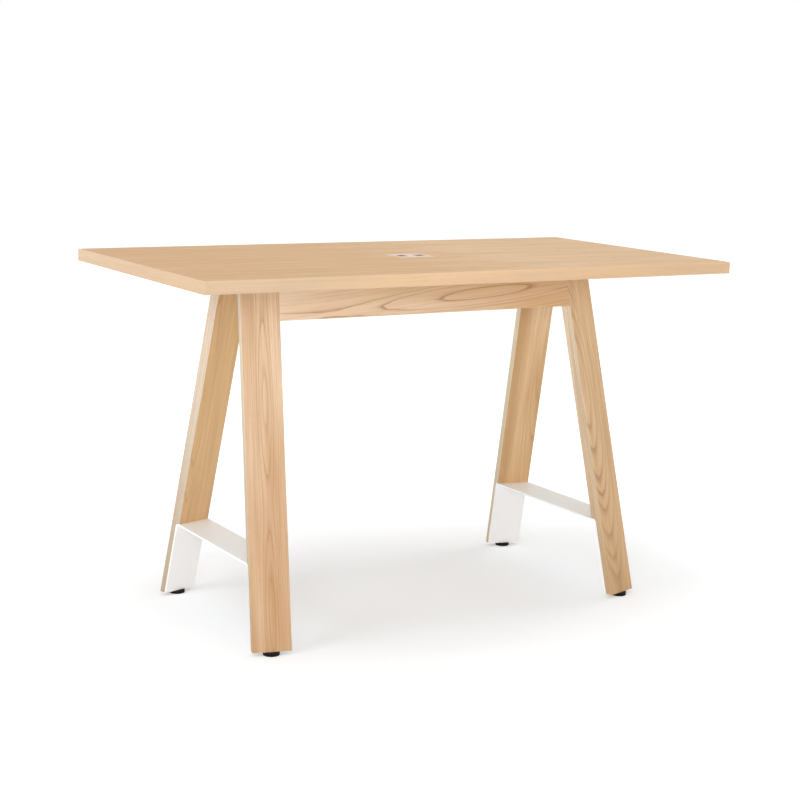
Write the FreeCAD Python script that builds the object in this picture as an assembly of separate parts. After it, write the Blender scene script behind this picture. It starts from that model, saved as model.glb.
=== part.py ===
import FreeCAD, Part
import math
import os

# Standing-height meeting table in ash. Millimetres, +Z up, origin on the floor under the middle of the top.
# X runs along the table, the front is at -Y. "side" is -1 at the left end and +1 at the right end,
# "end" is -1 at the front and +1 at the rear.

Vec = FreeCAD.Vector
up = Vec(0, 0, 1)
along_x = Vec(1, 0, 0)
along_y = Vec(0, 1, 0)
sides = (-1, 1)
ends = (-1, 1)
side_names = {-1: "left", 1: "right"}
end_names = {-1: "front", 1: "rear"}

# Tabletop
table_height = 1080.0
top_length = 1800.0
top_width = 900.0
top_thickness = 36.0
lipping_thickness = 6.0
arris_radius = 1.5

# Legs
leg_width = 114.0
leg_thickness = 36.0
leg_lean_degrees = 13.6
leg_turn_degrees = 15.0
leg_end_inset = 333.0
leg_top_y = 97.0
foot_gap = 11.0

# Long rails, end rails and cross rails
rail_drop = 125.0
rail_thickness = 28.0
end_rail_drop = 55.0
end_rail_thickness = 28.0
cross_rail_place_share = 0.476
cross_rail_drop = 70.0
cross_rail_thickness = 24.0

# Dowels
dowel_diameter = 10.0
dowel_length = 40.0
small_dowel_diameter = 8.0
small_dowel_length = 32.0
dowel_clearance = 0.05
dowel_level_shares = (0.28, 0.72)

# Footrests
footrest_height = 246.0
plate_thickness = 6.0
rebate_depth = 15.0
bend_radius = 12.0
rebate_radius = 10.0

# Countersunk screws of the footrests, placed by shares of the flange's height and the leg's width
flange_screw_level_shares = (0.25, 0.7)
flange_screw_width_shares = (-0.25, 0.25)
flange_screw_bite_share = 0.67
flange_screw_diameter = 5.0
flange_screw_head = 10.0
flange_screw_head_height = 3.0
flange_screw_socket = 3.2
flange_screw_socket_depth = 2.0
screw_clearance = 0.05

# Levelling glides and their inserts
glide_diameter = 48.0
glide_clearance = 0.5
glide_edge_radius = 2.0
glide_floor = 3.0
stem_diameter = 8.0
stem_reach = 24.0
stem_hole_diameter = 9.0
stem_hole_spare = 2.0
stem_point = 1.0
insert_diameter = 11.0
insert_length = 20.0
thread_clearance = 0.05

# Angles that fix the top, with their pan-head screws
angle_leg = 32.0
angle_width = 30.0
angle_thickness = 3.0
angle_bend_radius = 4.0
end_rail_angle_share = 0.5
cross_rail_angle_share = 0.55
angle_screw_share = 0.6
angle_screw_diameter = 4.5
angle_screw_head = 9.0
angle_screw_head_height = 3.0
angle_screw_socket = 3.0
angle_screw_socket_depth = 1.8
top_screw_bite_share = 0.58
rail_screw_bite_share = 0.66

# Power unit
bezel_length = 120.0
bezel_width = 100.0
bezel_thickness = 3.0
bezel_overlap = 8.0
bezel_corner_radius = 7.0
bezel_edge_radius = 0.6
bezel_clearance = 0.25
bezel_skirt_depth = 8.0
bezel_skirt_wall = 2.0
skirt_clearance = 0.2
housing_wall = 2.5
housing_corner_radius = 5.0
cutout_clearance = 1.5
board_margin = 3.0
board_thickness = 1.6
board_clearance = 11.8
boss_diameter = 7.0
boss_inset = 9.0

# Charging modules
module_pitch_share = 0.626
module_length = 30.0
module_width = 36.0
module_depth = 38.0
module_recess = 0.6
module_corner_radius = 3.0
module_clearance = 0.2
port_offset = 6.5
port_depth = 12.0
wide_port_length = 13.0
wide_port_width = 5.6
wide_port_radius = 0.8
round_port_length = 9.6
round_port_width = 3.6
round_port_radius = 1.7
tongue_side_gap = 1.2
tongue_thickness = 1.4
tongue_height = 10.0

# Appliance inlet
inlet_length = 28.0
inlet_width = 20.0
inlet_height = 19.0
inlet_flange = 4.0
inlet_flange_thickness = 3.0
inlet_wall = 2.2
inlet_corner_radius = 3.0
inlet_pocket_depth = 15.0
inlet_clearance = 0.1
pin_diameter = 3.0
pin_height = 11.0
pin_spacing = 6.5
pin_stagger = 3.0

# Clamps under the top, placed by shares of the housing's reach below the top
clamp_drop_share = 0.7
clamp_screw_share = 0.42
clamp_reach = 26.0
clamp_width = 34.0
clamp_thickness = 1.5
clamp_bend_radius = 2.0
clamp_screw_diameter = 4.0
clamp_screw_head = 7.5
clamp_screw_head_height = 2.4
clamp_screw_length = 9.0
clamp_screw_socket = 2.5
clamp_screw_socket_depth = 1.4

# Cuts run past the faces that they open by this much
overrun = 2.0

# Cosine above which two directions count as the same
aligned_share = 0.999

# Levels, angles and lengths that follow from the sizes above
lean = math.radians(leg_lean_degrees)
turn = math.radians(leg_turn_degrees)
underside = table_height - top_thickness
leg_top_x = top_length / 2 - leg_end_inset
cross_rail_x = leg_top_x * cross_rail_place_share
shin_thickness = leg_thickness - rebate_depth
rail_lean = math.atan(math.tan(lean) * math.cos(turn))
rail_top_y = leg_top_y + leg_width / 2 * math.sin(turn)
end_rail_reach = leg_top_y - leg_thickness / math.cos(lean) / math.cos(turn)
cross_rail_reach = rail_top_y - rail_thickness / math.cos(rail_lean)
flange_screw_length = plate_thickness + shin_thickness * flange_screw_bite_share
top_screw_length = angle_thickness + top_thickness * top_screw_bite_share
rail_screw_length = angle_thickness + min(end_rail_thickness, cross_rail_thickness) * rail_screw_bite_share
angle_screw_reach = angle_leg * angle_screw_share
far = top_width


def save(name, *solids):
    """Writes one piece, or a group of equal pieces, under its name."""
    shape = solids[0] if len(solids) == 1 else Part.makeCompound(list(solids))
    shape.exportStep(os.path.join("parts", name + ".step"))
    print(name, len(shape.Solids), round(shape.Volume), shape.isValid())


# Building shapes

def outline(points, radii):
    """Closed wire through the points, with a corner rounded where its radius isn't zero."""
    corners = []
    for i, point in enumerate(points):
        before = (points[i - 1] - point).normalize()
        after = (points[(i + 1) % len(points)] - point).normalize()
        if not radii[i]:
            corners.append((point, point, point))
            continue
        half = math.acos(before.dot(after)) / 2
        setback = radii[i] / math.tan(half)
        inward = (before + after).normalize() * (radii[i] / math.sin(half) - radii[i])
        corners.append((point + before * setback, point + inward, point + after * setback))
    edges = []
    for i, (start, middle, finish) in enumerate(corners):
        edges.append(Part.LineSegment(corners[i - 1][2], start).toShape())
        if radii[i]:
            edges.append(Part.Arc(start, middle, finish).toShape())
    return Part.Wire(edges)


def prism(points, direction, radii=None):
    """Solid swept from a flat outline along a direction."""
    return Part.Face(outline(points, radii or [0] * len(points))).extrude(direction)


def block(low, high):
    """Box between two corners."""
    size = high - low
    return Part.makeBox(size.x, size.y, size.z, low)


def plate(length, width, low, high, radius, middle=Vec(0, 0, 0)):
    """Upright block with rounded corners, centred on a point in plan."""
    x, y = length / 2, width / 2
    points = [middle + Vec(i * x, j * y, low) for i, j in ((-1, -1), (1, -1), (1, 1), (-1, 1))]
    return prism(points, up * (high - low), [radius] * len(points))


def rod(diameter, start, direction, length):
    return Part.makeCylinder(diameter / 2, length, start, direction)


def soften(shape, direction, radius):
    """Rounds the straight edges that run along a direction."""
    edges = [e for e in shape.Edges if abs(e.tangentAt(e.FirstParameter).dot(direction)) > aligned_share]
    return shape.makeFillet(radius, edges)


def hexagon(width, start, direction, depth):
    """Hexagonal socket of a screw."""
    side_way = along_x if abs(direction.z) > aligned_share else up.cross(direction).normalize()
    other_way = direction.cross(side_way)
    radius = width / math.sqrt(3)
    angles = [math.radians(60 * i) for i in range(6)]
    points = [start + side_way * (radius * math.cos(a)) + other_way * (radius * math.sin(a)) for a in angles]
    return prism(points, direction * depth)


def pan_screw(start, direction, diameter, length, head, head_height, socket, socket_depth):
    """Screw whose head sits on the surface at start, with its shank along the direction."""
    back = direction * -1
    cap = Part.makeCone(head / 2, (head + diameter) / 4, head_height, start, back)
    shank = rod(diameter, start, direction, length)
    crown = start + back * head_height
    return cap.fuse(shank).cut(hexagon(socket, crown, direction, socket_depth))


# Places on a leg: depth behind its outer face, distance across its width from its middle, and level

def leg_axes(side, end):
    out = Vec(side * math.sin(turn), end * math.cos(turn), 0)
    across = Vec(math.cos(turn), -side * end * math.sin(turn), 0)
    return out, across


def leg_point(side, end, depth, across, level):
    out, width_way = leg_axes(side, end)
    reach = math.tan(lean) * (underside - level) - depth / math.cos(lean)
    return Vec(side * leg_top_x, end * leg_top_y, level) + out * reach + width_way * across


def leg_block(side, end, depths, acrosses, levels, radii=None):
    """Leaning block between two depths, two places across the width and two levels."""
    corners = ((depths[0], levels[1]), (depths[0], levels[0]), (depths[1], levels[0]), (depths[1], levels[1]))
    points = [leg_point(side, end, depth, acrosses[0], level) for depth, level in corners]
    return prism(points, leg_axes(side, end)[1] * (acrosses[1] - acrosses[0]), radii)


def leg_normal(side, end):
    """Direction square to the leg's broad faces, pointing outwards."""
    return leg_axes(side, end)[0] * math.cos(lean) + up * math.sin(lean)


def rail_y(depth, level):
    """Distance from the table's middle to a plane at a depth behind a long rail's outer face."""
    return rail_top_y + math.tan(rail_lean) * (underside - level) - depth / math.cos(rail_lean)


# Dowels, screws and threaded holes, each worked out once for the pieces that they join

def rail_dowel_lines(side, end):
    """Start and direction of the dowels between a leg and its long rail, running from leg to rail."""
    inward = leg_axes(side, end)[1] * -side
    lines = []
    for share in dowel_level_shares:
        level = underside - rail_drop * share
        edge = leg_point(side, end, 0, -side * leg_width / 2, level)
        back = leg_axes(side, end)[0] * (rail_thickness / 2 / math.cos(rail_lean) / math.cos(turn))
        lines.append((edge - back - inward * (dowel_length / 2), inward))
    return lines


def end_rail_dowel_lines(side, end):
    """Dowels between a leg head and the end rail, running along Y towards the middle."""
    inward = along_y * -end
    across = leg_axes(side, end)[1]
    lines = []
    for share in dowel_level_shares:
        level = underside - end_rail_drop * share
        face = leg_point(side, end, leg_thickness, 0, level)
        slip = (side * leg_top_x - face.x) / across.x
        lines.append((face + across * slip - inward * (small_dowel_length / 2), inward))
    return lines


def cross_rail_dowel_lines(side, end):
    """Dowels between a long rail and a cross rail, set less than half way into the leaning rail."""
    inward = along_y * -end
    lines = []
    for share in dowel_level_shares:
        level = underside - cross_rail_drop * share
        start = Vec(side * cross_rail_x, end * rail_y(rail_thickness / 2, level), level)
        lines.append((start, inward))
    return lines


def dowels(lines, diameter, length):
    return [rod(diameter, start, way, length) for start, way in lines]


def dowel_holes(lines, diameter, length):
    """Holes that are larger than the dowels by the glue clearance all round."""
    gap = dowel_clearance
    return [rod(diameter + 2 * gap, start - way * gap, way, length + 2 * gap) for start, way in lines]


def flange_screw_lines(side, end):
    """Start, on the flange's open face, and direction of the screws that hold a footrest to a leg."""
    depth = shin_thickness + plate_thickness
    lines = []
    for level_share in flange_screw_level_shares:
        level = foot_gap + (footrest_height - foot_gap) * level_share
        for width_share in flange_screw_width_shares:
            start = leg_point(side, end, depth, leg_width * width_share, level)
            lines.append((start, leg_normal(side, end)))
    return lines


def flange_screw(start, direction, clearance=0.0):
    """Countersunk screw with its head flush at start; its hole is the same shape with a clearance."""
    slack = 2 * clearance
    head = Part.makeCone(flange_screw_head / 2 + clearance, flange_screw_diameter / 2 + clearance,
                         flange_screw_head_height, start, direction)
    shank = rod(flange_screw_diameter + slack, start, direction, flange_screw_length + clearance)
    return head.fuse(shank)


def glide_axis(side, end, level):
    """Point at a level on the upright axis of a glide, in the middle of the wood that holds its insert."""
    middle = leg_point(side, end, shin_thickness / 2, 0, foot_gap + insert_length / 2)
    return Vec(middle.x, middle.y, level)


def end_rail_angles(side):
    """Corner under the top, and way along X, of the angles on the inner face of an end rail."""
    face = side * (leg_top_x - end_rail_thickness / 2)
    return [(Vec(face, end * end_rail_reach * end_rail_angle_share, underside), -side) for end in ends]


def cross_rail_angles(side):
    """The same for the angles on the outer face of a cross rail."""
    face = side * (cross_rail_x + cross_rail_thickness / 2)
    return [(Vec(face, end * cross_rail_reach * cross_rail_angle_share, underside), side) for end in ends]


angle_places = [place for side in sides for place in end_rail_angles(side) + cross_rail_angles(side)]


def top_screw_line(corner, way):
    return corner + along_x * (way * angle_screw_reach) - up * angle_thickness, up


def rail_screw_line(corner, way):
    return corner + along_x * (way * angle_thickness) - up * angle_screw_reach, along_x * -way


def angle_screw_hole(line, length):
    start, way = line
    return rod(angle_screw_diameter + 2 * screw_clearance, start, way, length + screw_clearance)


def rail_screw_holes(places):
    return [angle_screw_hole(rail_screw_line(*place), rail_screw_length) for place in places]


# Tabletop

def tabletop_panel():
    x = top_length / 2 - lipping_thickness
    y = top_width / 2 - lipping_thickness
    panel = block(Vec(-x, -y, underside), Vec(x, y, table_height))
    opening = plate(housing_length + 2 * cutout_clearance, housing_width + 2 * cutout_clearance,
                    underside - overrun, table_height + overrun, housing_corner_radius)
    seat = plate(bezel_length + 2 * bezel_clearance, bezel_width + 2 * bezel_clearance,
                 bezel_seat, table_height + overrun, bezel_corner_radius)
    holes = [angle_screw_hole(top_screw_line(*place), top_screw_length) for place in angle_places]
    return panel.cut([opening, seat] + holes)


def long_lipping(end):
    """Front and rear lippings, which run the full length."""
    x = top_length / 2
    inner, outer = end * (top_width / 2 - lipping_thickness), end * top_width / 2
    corners = ((inner, underside), (outer, underside), (outer, table_height), (inner, table_height))
    points = [Vec(-x, y, z) for y, z in corners]
    return prism(points, along_x * top_length, [0, arris_radius, arris_radius, 0])


def short_lipping(side):
    """End lippings, which fit between the long ones."""
    y = top_width / 2 - lipping_thickness
    inner, outer = side * (top_length / 2 - lipping_thickness), side * top_length / 2
    corners = ((inner, underside), (outer, underside), (outer, table_height), (inner, table_height))
    points = [Vec(x, -y, z) for x, z in corners]
    return prism(points, along_y * (2 * y), [0, arris_radius, arris_radius, 0])


# Legs

def leg(side, end):
    half = leg_width / 2
    wood = leg_block(side, end, (0, leg_thickness), (-half, half), (foot_gap, underside))
    run = leg_axes(side, end)[0] * math.sin(lean) - up * math.cos(lean)
    wood = soften(wood, run, arris_radius)
    past = half + overrun
    rebate = leg_block(side, end, (shin_thickness, leg_thickness + overrun), (-past, past),
                       (foot_gap - overrun, footrest_height), [rebate_radius, 0, 0, 0])
    foot = glide_axis(side, end, foot_gap)
    holes = dowel_holes(rail_dowel_lines(side, end), dowel_diameter, dowel_length)
    holes += dowel_holes(end_rail_dowel_lines(side, end), small_dowel_diameter, small_dowel_length)
    holes += [flange_screw(start, way, screw_clearance) for start, way in flange_screw_lines(side, end)]
    holes.append(rod(insert_diameter + 2 * dowel_clearance, foot, up, insert_length + dowel_clearance))
    holes.append(rod(stem_hole_diameter, foot, up, stem_reach + stem_hole_spare))
    return wood.cut(rebate).cut(holes)


# Rails under the top

def long_rail(end):
    """Front or rear rail: it leans with the legs and its ends meet their narrow faces."""
    bottom = underside - rail_drop
    corners = ((0, underside), (0, bottom), (rail_thickness, bottom), (rail_thickness, underside))
    points = [Vec(-leg_top_x, end * rail_y(depth, level), level) for depth, level in corners]
    rail = prism(points, along_x * (2 * leg_top_x), [0, arris_radius, arris_radius, 0])
    for side in sides:
        inner_edge = -side * leg_width / 2
        reach = (inner_edge, inner_edge + side * far)
        rail = rail.cut(leg_block(side, end, (-far, far), reach, (bottom - overrun, underside + overrun)))
    holes = []
    for side in sides:
        holes += dowel_holes(rail_dowel_lines(side, end), dowel_diameter, dowel_length)
        holes += dowel_holes(cross_rail_dowel_lines(side, end), small_dowel_diameter, small_dowel_length)
    return rail.cut(holes)


def end_rail(side):
    """Short rail between the front and rear leg heads at one end."""
    half = end_rail_thickness / 2
    bottom = underside - end_rail_drop
    middle = side * leg_top_x
    rail = block(Vec(middle - half, -leg_top_y, bottom), Vec(middle + half, leg_top_y, underside))
    levels = (bottom - overrun, underside + overrun)
    holes = rail_screw_holes(end_rail_angles(side))
    for end in ends:
        rail = rail.cut(leg_block(side, end, (-far, leg_thickness), (-far, far), levels))
        holes += dowel_holes(end_rail_dowel_lines(side, end), small_dowel_diameter, small_dowel_length)
    return rail.cut(holes)


def cross_rail(side):
    """Short rail between the front and rear rails."""
    bottom = underside - cross_rail_drop
    start = side * cross_rail_x - cross_rail_thickness / 2
    corners = ((-1, underside), (-1, bottom), (1, bottom), (1, underside))
    points = [Vec(start, end * rail_y(rail_thickness, level), level) for end, level in corners]
    rail = prism(points, along_x * cross_rail_thickness)
    holes = rail_screw_holes(cross_rail_angles(side))
    for end in ends:
        holes += dowel_holes(cross_rail_dowel_lines(side, end), small_dowel_diameter, small_dowel_length)
    return rail.cut(holes)


# Angles that hold the top to the end rails and cross rails

def fixing_angle(corner, way):
    start = corner - along_y * (angle_width / 2)
    x, t, size = along_x * way, angle_thickness, angle_leg
    points = [start, start + x * size, start + x * size - up * t, start + x * t - up * t,
              start + x * t - up * size, start - up * size]
    inside = angle_bend_radius - angle_thickness
    shape = prism(points, along_y * angle_width, [0, 0, 0, inside, 0, 0])
    top_hole = angle_screw_hole(top_screw_line(corner, way), angle_thickness + overrun)
    rail_hole = angle_screw_hole(rail_screw_line(corner, way), angle_thickness + overrun)
    return shape.cut([top_hole, rail_hole])


def angle_screw(line, length):
    return pan_screw(*line, angle_screw_diameter, length, angle_screw_head, angle_screw_head_height,
                     angle_screw_socket, angle_screw_socket_depth)


# Footrests

def footrest(side):
    """Flat tread between the legs of one end, with a flange bent down into each leg's rebate."""
    half = leg_width / 2
    low = footrest_height - plate_thickness
    tread = []
    shape = None
    for end in ends:
        lip = leg_point(side, end, leg_thickness, -half, footrest_height)
        back = shin_thickness + plate_thickness
        points = [lip,
                  leg_point(side, end, shin_thickness, -half, footrest_height),
                  leg_point(side, end, shin_thickness, -half, foot_gap),
                  leg_point(side, end, back, -half, foot_gap),
                  leg_point(side, end, back, -half, low),
                  lip - up * plate_thickness]
        inside = bend_radius - plate_thickness
        flange = prism(points, leg_axes(side, end)[1] * leg_width, [0, bend_radius, 0, 0, inside, 0])
        shape = shape.fuse(flange) if shape else flange
        tread += [leg_point(side, end, leg_thickness, end * step * half, footrest_height) for step in sides]
    tread = prism([point - up * plate_thickness for point in tread], up * plate_thickness)
    holes = [flange_screw(*line, screw_clearance) for end in ends for line in flange_screw_lines(side, end)]
    return shape.fuse(tread).removeSplitter().cut(holes)


def footrest_screws():
    screws = []
    for side in sides:
        for end in ends:
            for start, way in flange_screw_lines(side, end):
                socket = hexagon(flange_screw_socket, start, way, flange_screw_socket_depth)
                screws.append(flange_screw(start, way).cut(socket))
    return screws


# Levelling glides

def glide_pad(side, end):
    height = foot_gap - glide_clearance
    disc = rod(glide_diameter, glide_axis(side, end, 0), up, height)
    disc = disc.makeFillet(glide_edge_radius, [e for e in disc.Edges if e.Closed])
    socket = rod(stem_diameter + 2 * thread_clearance, glide_axis(side, end, glide_floor), up, height)
    return disc.cut(socket)


def glide_stem(side, end):
    length = foot_gap + stem_reach - glide_floor
    stem = rod(stem_diameter, glide_axis(side, end, glide_floor), up, length)
    tip = [e for e in stem.Edges if e.Closed and e.BoundBox.ZMin > foot_gap]
    return stem.makeChamfer(stem_point, tip)


def glide_insert(side, end):
    foot = glide_axis(side, end, foot_gap)
    sleeve = rod(insert_diameter, foot, up, insert_length)
    return sleeve.cut(rod(stem_diameter + 2 * thread_clearance, foot, up, insert_length))


# Power unit: levels and inside sizes, then its pieces from the top down

bezel_seat = table_height - bezel_thickness
module_top = table_height - module_recess
board_top = module_top - module_depth
board_bottom = board_top - board_thickness
housing_floor = board_bottom - board_clearance - (inlet_height - inlet_flange_thickness)
housing_reach = underside - housing_floor
housing_length = bezel_length - 2 * bezel_overlap
housing_width = bezel_width - 2 * bezel_overlap
inner_length = housing_length - 2 * housing_wall
inner_width = housing_width - 2 * housing_wall
inner_radius = housing_corner_radius - housing_wall


def module_middle(side):
    return Vec(side * inner_length * module_pitch_share / 2, 0, 0)


def power_bezel():
    """Pale frame let in flush with the top, with a window for each module and a skirt inside the housing."""
    frame = plate(bezel_length, bezel_width, bezel_seat, table_height, bezel_corner_radius)
    rim = [e for e in frame.Edges if e.BoundBox.ZMin > table_height - bezel_edge_radius]
    frame = frame.makeFillet(bezel_edge_radius, rim)
    low = bezel_seat - bezel_skirt_depth
    length, width = inner_length - 2 * skirt_clearance, inner_width - 2 * skirt_clearance
    skirt = plate(length, width, low, bezel_seat, inner_radius)
    core = plate(length - 2 * bezel_skirt_wall, width - 2 * bezel_skirt_wall, low, bezel_seat, 0)
    frame = frame.fuse(skirt.cut(core)).removeSplitter()
    windows = [plate(module_length + 2 * module_clearance, module_width + 2 * module_clearance,
                     bezel_seat - overrun, table_height + overrun, module_corner_radius, module_middle(side))
               for side in sides]
    return frame.cut(windows)


def ports(side):
    """Length, width, corner radius and middle of the two ports in a module's face."""
    middle = module_middle(side)
    return ((wide_port_length, wide_port_width, wide_port_radius, middle + along_y * port_offset),
            (round_port_length, round_port_width, round_port_radius, middle - along_y * port_offset))


def charge_module(side):
    middle = module_middle(side)
    body = plate(module_length, module_width, board_top, module_top, module_corner_radius, middle)
    cuts = [plate(length, width, module_top - port_depth, module_top + overrun, radius, place)
            for length, width, radius, place in ports(side)]
    return body.cut(cuts)


def port_tongues():
    tongues = []
    for side in sides:
        for length, _, _, middle in ports(side):
            root = middle + up * (module_top - port_depth)
            half = Vec(length / 2 - tongue_side_gap, tongue_thickness / 2, 0)
            tongues.append(block(root - half, root + half + up * tongue_height))
    return tongues


def circuit_board():
    length = inner_length - 2 * board_margin
    width = inner_width - 2 * board_margin
    return plate(length, width, board_bottom, board_top, 0)


def power_housing():
    """Open box under the bezel, with bosses for the board and a hole in its floor for the inlet."""
    inner_floor = housing_floor + housing_wall
    shell = plate(housing_length, housing_width, housing_floor, bezel_seat, housing_corner_radius)
    shell = shell.cut(plate(inner_length, inner_width, inner_floor, bezel_seat, inner_radius))
    x = inner_length / 2 - boss_inset
    y = inner_width / 2 - boss_inset
    feet = [Vec(i * x, j * y, housing_floor) for i in sides for j in ends]
    boss_height = board_bottom - housing_floor
    bosses = [rod(boss_diameter, foot, up, boss_height) for foot in feet]
    shell = shell.fuse(bosses).removeSplitter()
    holes = [plate(inlet_length + 2 * inlet_clearance, inlet_width + 2 * inlet_clearance,
                   housing_floor - overrun, inner_floor + overrun, inlet_corner_radius)]
    holes += [clamp_screw_hole(side) for side in sides]
    return shell.cut(holes)


def power_inlet():
    """Appliance inlet, open at the bottom, whose flange bears on the housing floor from below."""
    high = housing_floor + inlet_height - inlet_flange_thickness
    low = housing_floor - inlet_flange_thickness
    body = plate(inlet_length, inlet_width, housing_floor, high, inlet_corner_radius)
    flange = plate(inlet_length + 2 * inlet_flange, inlet_width + 2 * inlet_flange, low, housing_floor,
                   inlet_corner_radius)
    pocket = plate(inlet_length - 2 * inlet_wall, inlet_width - 2 * inlet_wall, low - overrun,
                   low + inlet_pocket_depth, inlet_corner_radius - inlet_wall)
    return body.fuse(flange).removeSplitter().cut(pocket)


def inlet_pins():
    roof = housing_floor - inlet_flange_thickness + inlet_pocket_depth
    back = pin_stagger / 2
    places = [Vec(-pin_spacing, back, roof), Vec(0, -back, roof), Vec(pin_spacing, back, roof)]
    return [rod(pin_diameter, place, up * -1, pin_height) for place in places]


# Clamps that draw the power unit down against the top

def clamp_screw_line(side):
    level = underside - housing_reach * clamp_screw_share
    return Vec(side * (housing_length / 2 + clamp_thickness), 0, level), along_x * -side


def clamp_screw_hole(side):
    start, way = clamp_screw_line(side)
    return rod(clamp_screw_diameter + 2 * screw_clearance, start, way, clamp_screw_length + overrun)


def power_clamp(side):
    start = Vec(side * housing_length / 2, -clamp_width / 2, underside)
    x, t, drop = along_x * side, clamp_thickness, housing_reach * clamp_drop_share
    points = [start, start + x * clamp_reach, start + x * clamp_reach - up * t, start + x * t - up * t,
              start + x * t - up * drop, start - up * drop]
    inside = clamp_bend_radius - clamp_thickness
    shape = prism(points, along_y * clamp_width, [0, 0, 0, inside, 0, 0])
    return shape.cut(clamp_screw_hole(side))


def clamp_screw(side):
    return pan_screw(*clamp_screw_line(side), clamp_screw_diameter, clamp_screw_length, clamp_screw_head,
                     clamp_screw_head_height, clamp_screw_socket, clamp_screw_socket_depth)


# Write every piece

os.makedirs("parts", exist_ok=True)
corners = [(side, end) for side in sides for end in ends]

save("tabletop_panel", tabletop_panel())
for end in ends:
    save("lipping_" + end_names[end], long_lipping(end))
    save(end_names[end] + "_rail", long_rail(end))
for side in sides:
    save("lipping_" + side_names[side], short_lipping(side))
    save("end_rail_" + side_names[side], end_rail(side))
    save("cross_rail_" + side_names[side], cross_rail(side))
    save("footrest_" + side_names[side], footrest(side))
    save("charge_module_" + side_names[side], charge_module(side))
for side, end in corners:
    corner_name = end_names[end] + "_" + side_names[side]
    save("leg_" + corner_name, leg(side, end))
    save("glide_pad_" + corner_name, glide_pad(side, end))
    save("glide_stem_" + corner_name, glide_stem(side, end))

all_rail_dowels = [line for corner in corners for line in rail_dowel_lines(*corner)]
all_end_rail_dowels = [line for corner in corners for line in end_rail_dowel_lines(*corner)]
all_cross_rail_dowels = [line for corner in corners for line in cross_rail_dowel_lines(*corner)]
save("rail_dowels", *dowels(all_rail_dowels, dowel_diameter, dowel_length))
save("end_rail_dowels", *dowels(all_end_rail_dowels, small_dowel_diameter, small_dowel_length))
save("cross_rail_dowels", *dowels(all_cross_rail_dowels, small_dowel_diameter, small_dowel_length))
save("glide_inserts", *[glide_insert(*corner) for corner in corners])
save("footrest_screws", *footrest_screws())
save("fixing_angles", *[fixing_angle(*place) for place in angle_places])
save("top_screws", *[angle_screw(top_screw_line(*place), top_screw_length) for place in angle_places])
save("rail_screws", *[angle_screw(rail_screw_line(*place), rail_screw_length) for place in angle_places])

save("power_bezel", power_bezel())
save("power_housing", power_housing())
save("circuit_board", circuit_board())
save("port_tongues", *port_tongues())
save("power_inlet", power_inlet())
save("inlet_pins", *inlet_pins())
save("power_clamps", *[power_clamp(side) for side in sides])
save("clamp_screws", *[clamp_screw(side) for side in sides])
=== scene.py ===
import math

import bpy
from mathutils import Matrix, Vector


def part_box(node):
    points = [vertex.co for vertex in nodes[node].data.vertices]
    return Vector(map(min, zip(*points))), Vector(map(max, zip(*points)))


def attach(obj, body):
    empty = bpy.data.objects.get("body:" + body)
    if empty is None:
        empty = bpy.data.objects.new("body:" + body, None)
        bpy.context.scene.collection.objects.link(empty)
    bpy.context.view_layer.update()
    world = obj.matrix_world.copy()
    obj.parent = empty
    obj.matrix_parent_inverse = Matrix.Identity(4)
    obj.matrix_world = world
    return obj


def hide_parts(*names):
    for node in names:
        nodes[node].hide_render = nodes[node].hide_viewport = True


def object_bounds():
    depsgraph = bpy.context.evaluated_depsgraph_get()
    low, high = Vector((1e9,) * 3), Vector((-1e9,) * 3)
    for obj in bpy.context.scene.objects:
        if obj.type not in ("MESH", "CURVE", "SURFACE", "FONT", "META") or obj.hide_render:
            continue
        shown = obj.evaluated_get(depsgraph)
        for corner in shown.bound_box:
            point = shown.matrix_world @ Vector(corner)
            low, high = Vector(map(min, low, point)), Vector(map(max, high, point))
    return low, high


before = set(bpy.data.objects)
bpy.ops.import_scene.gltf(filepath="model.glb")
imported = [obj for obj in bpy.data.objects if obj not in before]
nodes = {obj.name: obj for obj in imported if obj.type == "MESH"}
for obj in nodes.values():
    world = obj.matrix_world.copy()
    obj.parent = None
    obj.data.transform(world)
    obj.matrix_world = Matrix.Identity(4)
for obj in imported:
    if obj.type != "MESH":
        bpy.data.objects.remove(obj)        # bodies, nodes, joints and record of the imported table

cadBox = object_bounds()     # the CAD box, before anything is added
corners = ("front_left", "rear_left", "front_right", "rear_right")
noiseBand = (0.3, 0.7)   # where most values of a noise lie
noiseMiddle = 0.5
print("frame loaded:", len(nodes), "nodes")


# node graph helpers

def feed(tree, socket, value):
    if hasattr(value, "links"):          # another node's output
        tree.links.new(value, socket)
    elif value is not None:
        socket.default_value = value


def addMath(tree, operation, first, second=None):
    node = tree.nodes.new("ShaderNodeMath")
    node.operation = operation
    feed(tree, node.inputs[0], first)
    feed(tree, node.inputs[1], second)
    return node.outputs[0]


def addSum(tree, first, second):
    return addMath(tree, "ADD", first, second)


def addDifference(tree, first, second):
    return addMath(tree, "SUBTRACT", first, second)


def addProduct(tree, first, second):
    return addMath(tree, "MULTIPLY", first, second)


def addVectorMath(tree, operation, first, second=None):
    node = tree.nodes.new("ShaderNodeVectorMath")
    node.operation = operation
    feed(tree, node.inputs[0], first)
    feed(tree, node.inputs[1], second)
    return node.outputs


def addParts(tree, vector):
    node = tree.nodes.new("ShaderNodeSeparateXYZ")
    feed(tree, node.inputs[0], vector)
    return node.outputs


def addJoined(tree, *parts):
    node = tree.nodes.new("ShaderNodeCombineXYZ")
    for socket, part in zip(node.inputs, parts):
        feed(tree, socket, part)
    return node.outputs[0]


def addNoise(tree, vector, scale, detail=2.0, roughness=0.5):
    node = tree.nodes.new("ShaderNodeTexNoise")
    feed(tree, node.inputs["Vector"], vector)
    node.inputs["Scale"].default_value = scale
    node.inputs["Detail"].default_value = detail
    node.inputs["Roughness"].default_value = roughness
    return node.outputs


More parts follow.
